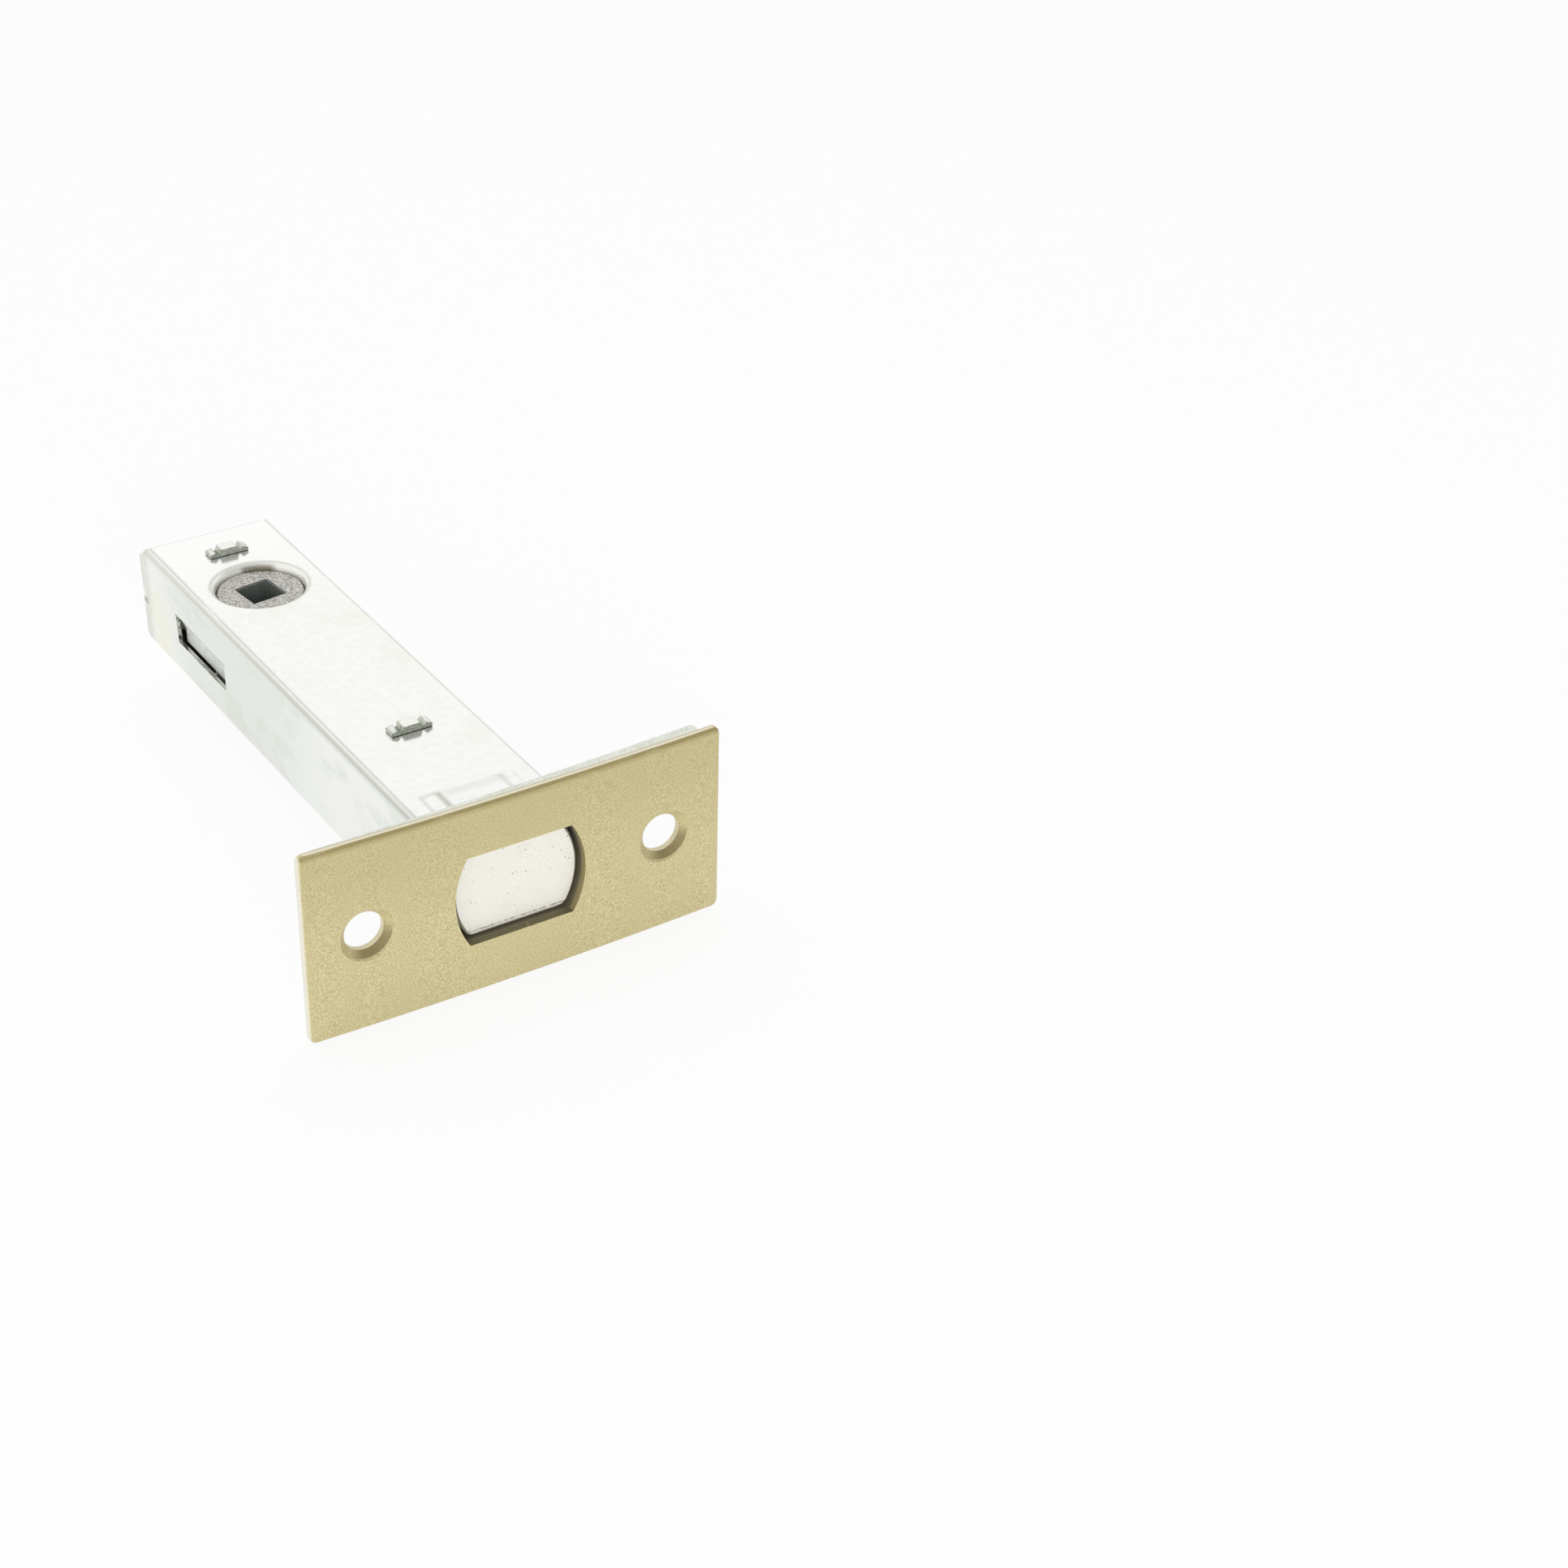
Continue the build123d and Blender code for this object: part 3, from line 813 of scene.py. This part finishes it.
# Pillars: the CAD bar copied to each pillar's place, its chisel-split ends roughened as struck metal is
pillarSet = {
    "blank": "front_pillar",
    "all": ["front_pillar", "rear_pillar"],
    "edgeRound": 0.00005,
    "flatDegrees": 1,
    "sharpDegrees": 20,
    "mergeGap": 1e-7,
    "cutGap": 0.00025,
    "cutBelow": 0.0004,
    "biteAbove": 0.00005,
    "biteFade": 0.0006,
    "bite": 0.0002,
    "grainSize": 0.0007,
    "seed": 4,
}
stakeBase = sheetHigh.z - padRise
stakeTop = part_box("front_pillar")[1].z
pillarLook = {
    "deep": tint(176, 182, 168),
    "pale": tint(222, 226, 215),
    "stain": tint(190, 190, 170),
    "stainShare": 0.5,
    "dull": tint(150, 156, 142),
    "dullShare": 0.6,
    "speck": tint(110, 112, 98),
    "speckShare": 0.5,
    "speckGap": 0.0008,
    "speckWidth": 0.14,
    # dark edges: painted shade along the chisel's V creases and other edges
    "edge": tint(66, 69, 50),
    "edgeShare": 0.95,
    "edgeWidth": 0.00018,
    "grainSize": 0.0003,
    "grainDepth": 0.00002,
    "cloudSize": 0.0012,
    "lineSize": 0.0002,
    "lineStretch": (1, 1, 6),
    "lineDepth": 0.00002,
    "rough": (0.2, 0.32),
    "metallic": 0.75,
    "zones": [
        # struck top faces, painted near white as light from above
        {
            "low": (-0.004, 0, stakeBase + 0.0006),
            "high": (0.004, 0.1, stakeTop + 0.0003),
            "axis": (0, 0, 1),
            "facing": (0.85, 0.97),
            "colour": tint(247, 247, 243),
            "share": 0.95,
        },
        # painted shadow in the seam where the pillar leaves the sheet
        {
            "low": (-0.004, 0, stakeBase - 0.0001),
            "high": (0.004, 0.1, stakeBase + 0.00011),
            "colour": tint(40, 44, 34),
            "share": 0.9,
        },
    ],
}


# One pillar's merged mesh, moved to stand at y = 0 and cut finely enough at its ends to be roughened
def pillarBlank(settings):
    low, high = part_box(settings["blank"])
    middle = (low.y + high.y) / 2
    mergeGap = settings["mergeGap"]
    mesh = bmesh.new()
    mesh.from_mesh(cadNodes[settings["blank"]].data)
    bmesh.ops.remove_doubles(mesh, verts=mesh.verts, dist=mergeGap)
    flat = radians(settings["flatDegrees"])
    bmesh.ops.dissolve_limit(mesh, angle_limit=flat, verts=mesh.verts, edges=mesh.edges)
    limit = radians(settings["sharpDegrees"])
    sharp = [edge for edge in mesh.edges if edge.is_manifold and edge.calc_face_angle() > limit]
    rounding = {"offset": settings["edgeRound"], "segments": 2, "profile": 0.5}
    bmesh.ops.bevel(mesh, geom=sharp, affect="EDGES", clamp_overlap=True, **rounding)
    gap = settings["cutGap"]
    for axis in range(3):
        steps = int((high[axis] - low[axis]) / gap)
        for step in range(1, steps):
            spot = Vector((0, middle, 0))
            spot[axis] = low[axis] + step * gap
            if axis == 2 and abs(spot.z) < stakeBase - settings["cutBelow"]:
                continue
            normal = Vector((0, 0, 0))
            normal[axis] = 1
            geometry = mesh.verts[:] + mesh.edges[:] + mesh.faces[:]
            bmesh.ops.bisect_plane(mesh, geom=geometry, dist=mergeGap, plane_co=spot, plane_no=normal)
    bmesh.ops.triangulate(mesh, faces=mesh.faces)
    bmesh.ops.translate(mesh, verts=mesh.verts, vec=(0, -middle, 0))
    bmesh.ops.recalc_face_normals(mesh, faces=mesh.faces)
    data = bpy.data.meshes.new("pillarBlank")
    mesh.to_mesh(data)
    mesh.free()
    blank = bpy.data.objects.new("pillarBlank", data)
    bpy.context.scene.collection.objects.link(blank)
    return blank


# Node tree that sets the blank on each point and pushes its ends about with noise
def pillarTree():
    tree = bpy.data.node_groups.new("stakedPillars", "GeometryNodeTree")
    tree.is_modifier = True
    inputs = {
        "Places": "NodeSocketGeometry",
        "Blank": "NodeSocketObject",
        "Finish": "NodeSocketMaterial",
        "Sheet Top": "NodeSocketFloat",
        "Bite": "NodeSocketFloat",
        "Bite Fade": "NodeSocketFloat",
        "Grain Size": "NodeSocketFloat",
        "Seed": "NodeSocketInt",
    }
    for name, kind in inputs.items():
        tree.interface.new_socket(name, in_out="INPUT", socket_type=kind)
    tree.interface.new_socket("Pillars", in_out="OUTPUT", socket_type="NodeSocketGeometry")
    make = nodeMaker(tree)
    given = make("NodeGroupInput").outputs
    blank = make("GeometryNodeObjectInfo", {"Object": given["Blank"]}, transform_space="RELATIVE")
    placed = {"Points": given["Places"], "Instance": blank.outputs["Geometry"]}
    copies = make("GeometryNodeInstanceOnPoints", placed)
    solid = make("GeometryNodeRealizeInstances", {"Geometry": copies.outputs["Instances"]})

    place = make("GeometryNodeInputPosition").outputs["Position"]
    height = make("ShaderNodeSeparateXYZ", {"Vector": place}).outputs["Z"]
    above = maths(make, "SUBTRACT", maths(make, "ABSOLUTE", height), given["Sheet Top"])
    share = make("ShaderNodeMapRange", {"Value": above, "From Min": 0.0, "From Max": given["Bite Fade"]})
    strength = maths(make, "MULTIPLY", share.outputs["Result"], given["Bite"])
    scale = maths(make, "DIVIDE", 1.0, given["Grain Size"])
    sockets = {"Vector": place, "W": given["Seed"], "Scale": scale, "Detail": 2.0}
    noise = make("ShaderNodeTexNoise", sockets, noise_dimensions="4D")
    centred = vectorMaths(make, "SUBTRACT", noise.outputs["Color"], (0.5, 0.5, 0.5))
    push = make("ShaderNodeVectorMath", {0: centred, "Scale": strength}, operation="SCALE")
    moved = make("GeometryNodeSetPosition", {"Geometry": solid.outputs[0], "Offset": push.outputs[0]})
    finished = make("GeometryNodeSetMaterial", {"Geometry": moved.outputs[0], "Material": given["Finish"]})
    make("NodeGroupOutput", {"Pillars": finished.outputs[0]})
    return tree


# Both pillars as one plain mesh that rides on the case
def makePillars(settings, finish):
    blank = pillarBlank(settings)
    middles = [(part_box(name)[0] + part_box(name)[1]) / 2 for name in settings["all"]]
    places = bpy.data.meshes.new("pillarPlaces")
    places.from_pydata([(0, middle.y, 0) for middle in middles], [], [])
    carrier = bpy.data.objects.new("pillarCarrier", places)
    bpy.context.scene.collection.objects.link(carrier)
    modifier = carrier.modifiers.new("pillars", "NODES")
    modifier.node_group = pillarTree()
    values = {
        "Blank": blank,
        "Finish": finish,
        "Sheet Top": stakeBase + settings["biteAbove"],
        "Bite": settings["bite"],
        "Bite Fade": settings["biteFade"],
        "Grain Size": settings["grainSize"],
        "Seed": settings["seed"],
    }
    for item in modifier.node_group.interface.items_tree:
        if item.in_out == "INPUT" and item.name in values:
            modifier[item.identifier] = values[item.name]
    bpy.context.view_layer.update()
    seen = carrier.evaluated_get(bpy.context.evaluated_depsgraph_get())
    result = bpy.data.meshes.new_from_object(seen)
    bpy.data.objects.remove(carrier)
    bpy.data.objects.remove(blank)
    pillars = bpy.data.objects.new("stakedPillars", result)
    bpy.context.scene.collection.objects.link(pillars)
    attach(pillars, "case")
    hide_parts(*settings["all"])


makePillars(pillarSet, metalFinish("struckZinc", pillarLook))
print("pillars made")

# Studio: pale floor, white surround, one large soft lamp above and one in front to fill
studio = {
    "floorSize": 6.0,
    "floorDrop": 0.0002,
    "floorColour": (0.96, 0.96, 0.96, 1),
    "floorGlow": 0.88,
    "skyLevel": 0.85,
    "roomSide": (0.25, -0.72, 0.65),
    "roomEdge": (0.3, 0.9),
    "roomLevel": 0.35,
    "lamps": [
        {"name": "overhead", "from": (0.1, 0.25, 0.8), "size": 0.7, "power": 1.6},
        {"name": "frontFill", "from": (-0.3, -0.8, 0.28), "size": 0.5, "power": 3.6},
    ],
    "aim": (0.0, 0.045, 0.0),
}


# Floor: seen as nearly white, yet it still takes the object's shadow
def makeFloor(settings):
    half = settings["floorSize"] / 2
    level = cadBox[0].z - settings["floorDrop"]
    mesh = bpy.data.meshes.new("studioFloor")
    corners = [(-half, -half, level), (half, -half, level), (half, half, level), (-half, half, level)]
    mesh.from_pydata(corners, [], [(0, 1, 2, 3)])
    floor = bpy.data.objects.new("studioFloor", mesh)
    bpy.context.scene.collection.objects.link(floor)
    material = bpy.data.materials.new("studioFloor")
    make = clearedTree(material)
    paint = make("ShaderNodeBsdfDiffuse", {"Color": settings["floorColour"]}).outputs[0]
    glow = make("ShaderNodeEmission", {"Strength": 1.0}).outputs[0]
    ray = make("ShaderNodeLightPath").outputs
    seen = maths(make, "MAXIMUM", ray["Is Camera Ray"], ray["Is Glossy Ray"])
    share = maths(make, "MULTIPLY", seen, settings["floorGlow"])
    surface = make("ShaderNodeMixShader", {0: share, 1: paint, 2: glow}).outputs[0]
    make("ShaderNodeOutputMaterial", {"Surface": surface})
    material.cycles.emission_sampling = "NONE"
    mesh.materials.append(material)


# White to the camera. Reflections and the light on the object see the room, dim in front and above.
def makeSurround(settings):
    world = bpy.data.worlds.new("studio")
    bpy.context.scene.world = world
    make = clearedTree(world)
    direction = make("ShaderNodeTexCoord").outputs["Generated"]
    side = vectorMaths(make, "DOT_PRODUCT", direction, Vector(settings["roomSide"]).normalized())
    begin, end = settings["roomEdge"]
    sockets = {"Value": side, "From Min": begin, "From Max": end, "To Min": 1.0}
    sockets["To Max"] = settings["roomLevel"]
    level = make("ShaderNodeMapRange", sockets, interpolation_type="SMOOTHSTEP").outputs["Result"]
    sky = maths(make, "MULTIPLY", level, settings["skyLevel"])
    lit = make("ShaderNodeBackground", {"Color": (1, 1, 1, 1), "Strength": sky}).outputs[0]
    mirrored = make("ShaderNodeBackground", {"Color": (1, 1, 1, 1), "Strength": level}).outputs[0]
    white = make("ShaderNodeBackground", {"Color": (1, 1, 1, 1), "Strength": 1.0}).outputs[0]
    ray = make("ShaderNodeLightPath").outputs
    seen = maths(make, "MAXIMUM", ray["Is Camera Ray"], ray["Is Transmission Ray"])
    shown = make("ShaderNodeMixShader", {0: ray["Is Glossy Ray"], 1: lit, 2: mirrored}).outputs[0]
    shown = make("ShaderNodeMixShader", {0: seen, 1: shown, 2: white}).outputs[0]
    make("ShaderNodeOutputWorld", {"Surface": shown})


# Soft lamps, each turned to the middle of the case and left out of reflections
def makeLamps(settings):
    for lamp in settings["lamps"]:
        data = bpy.data.lights.new(lamp["name"], "AREA")
        data.size = lamp["size"]
        data.energy = lamp["power"]
        light = bpy.data.objects.new(lamp["name"], data)
        light.location = lamp["from"]
        light.rotation_mode = "QUATERNION"
        light.rotation_quaternion = (Vector(settings["aim"]) - Vector(lamp["from"])).to_track_quat("-Z", "Y")
        light.visible_glossy = False
        bpy.context.scene.collection.objects.link(light)


# Camera: worked out from the forend's corners and the case's edges as they lie in the photograph
cameraSet = {
    "place": (-0.14823, -0.27765, 0.21414),
    "aim": (0.03211, -0.01193, 0.01099),
    "rollDegrees": 1.705,
    "lens": 68.4,
    "sensor": 36.0,
    "near": 0.01,
    "far": 20.0,
}


def makeCamera(settings):
    data = bpy.data.cameras.new("camera")
    data.lens = settings["lens"]
    data.sensor_width = settings["sensor"]
    data.clip_start = settings["near"]
    data.clip_end = settings["far"]
    camera = bpy.data.objects.new("camera", data)
    camera.location = settings["place"]
    camera.rotation_mode = "QUATERNION"
    look = Vector(settings["aim"]) - Vector(settings["place"])
    roll = Quaternion((0, 0, 1), radians(settings["rollDegrees"]))
    camera.rotation_quaternion = look.to_track_quat("-Z", "Y") @ roll
    bpy.context.scene.collection.objects.link(camera)
    bpy.context.scene.camera = camera


makeFloor(studio)
makeSurround(studio)
makeLamps(studio)
makeCamera(cameraSet)
bpy.context.scene.view_settings.view_transform = "Standard"
print("studio and camera set")
